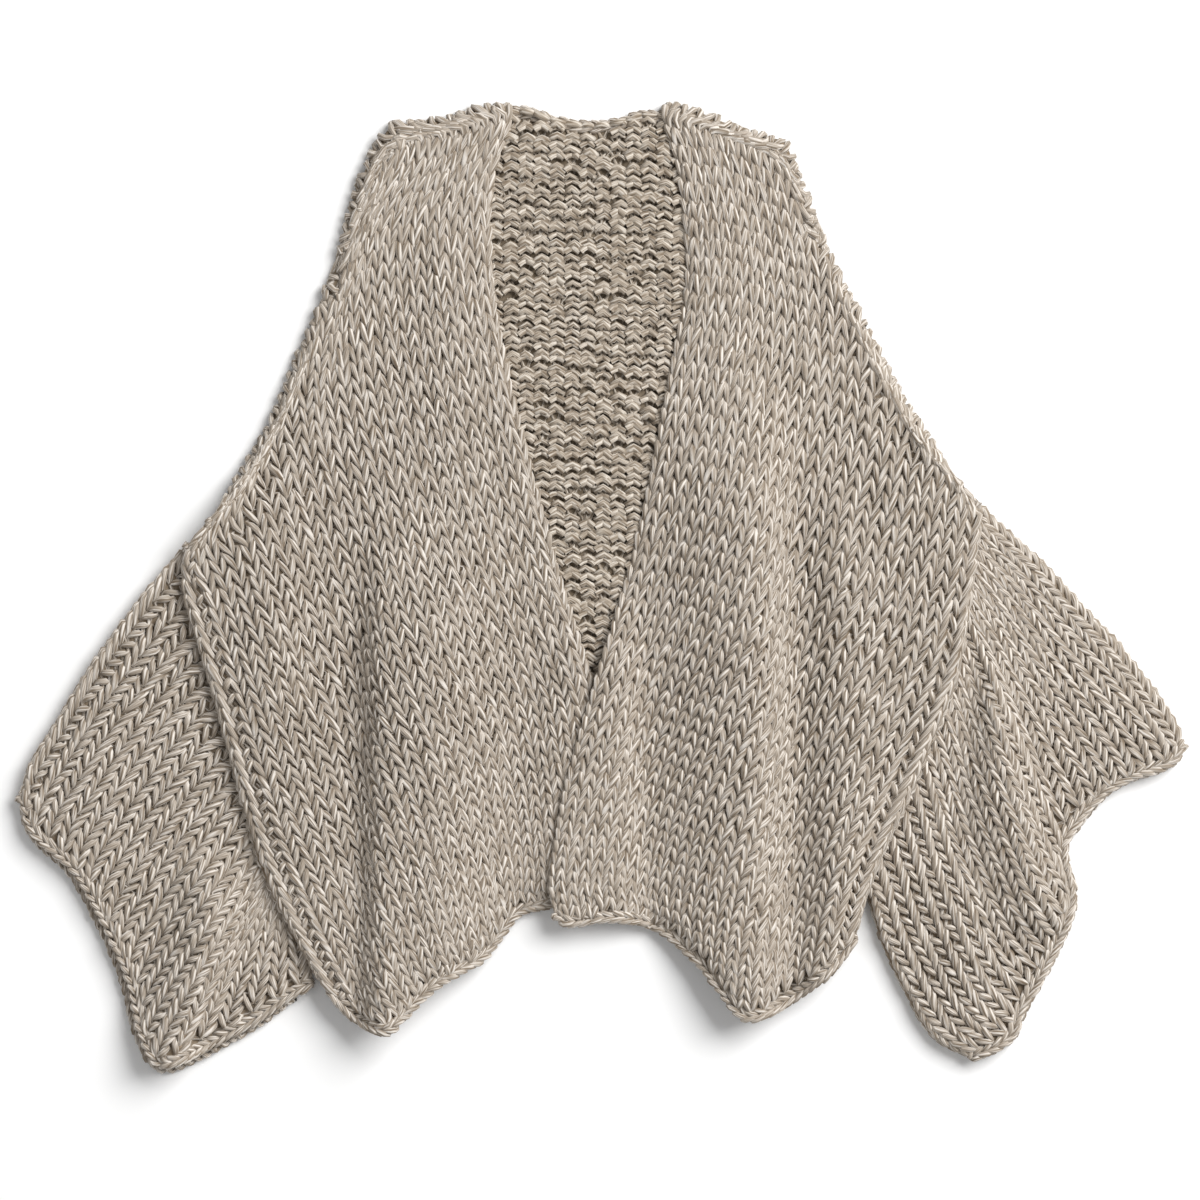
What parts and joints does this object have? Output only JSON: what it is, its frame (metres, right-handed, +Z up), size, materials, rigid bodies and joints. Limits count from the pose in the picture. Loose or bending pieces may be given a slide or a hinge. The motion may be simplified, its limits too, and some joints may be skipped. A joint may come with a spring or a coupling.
{
  "type": "open knitted cardigan, laid flat",
  "caption": "Open chunky hand-knit cardigan with dropped shoulders and short wide sleeves, laid flat with soft hem and sleeve folds.",
  "frame": {"origin": "on the surface the garment lies on, under the middle of the back", "axes": "+X across the garment towards its left sleeve (right in a view from above), +Y towards the neck, +Z up out of the surface"},
  "size_m": [0.8798, 0.7274, 0.0427],
  "materials": {
    "outer_knit": "marled cream and taupe wool, plied, matt with a soft nap",
    "inner_knit": "the purl side of the same marled wool, matt"
  },
  "bodies": {
    "root": {"back": "inner_knit", "right_front": "outer_knit", "left_front": "outer_knit", "right_sleeve": "outer_knit", "left_sleeve": "outer_knit"}
  },
  "joints": []
}
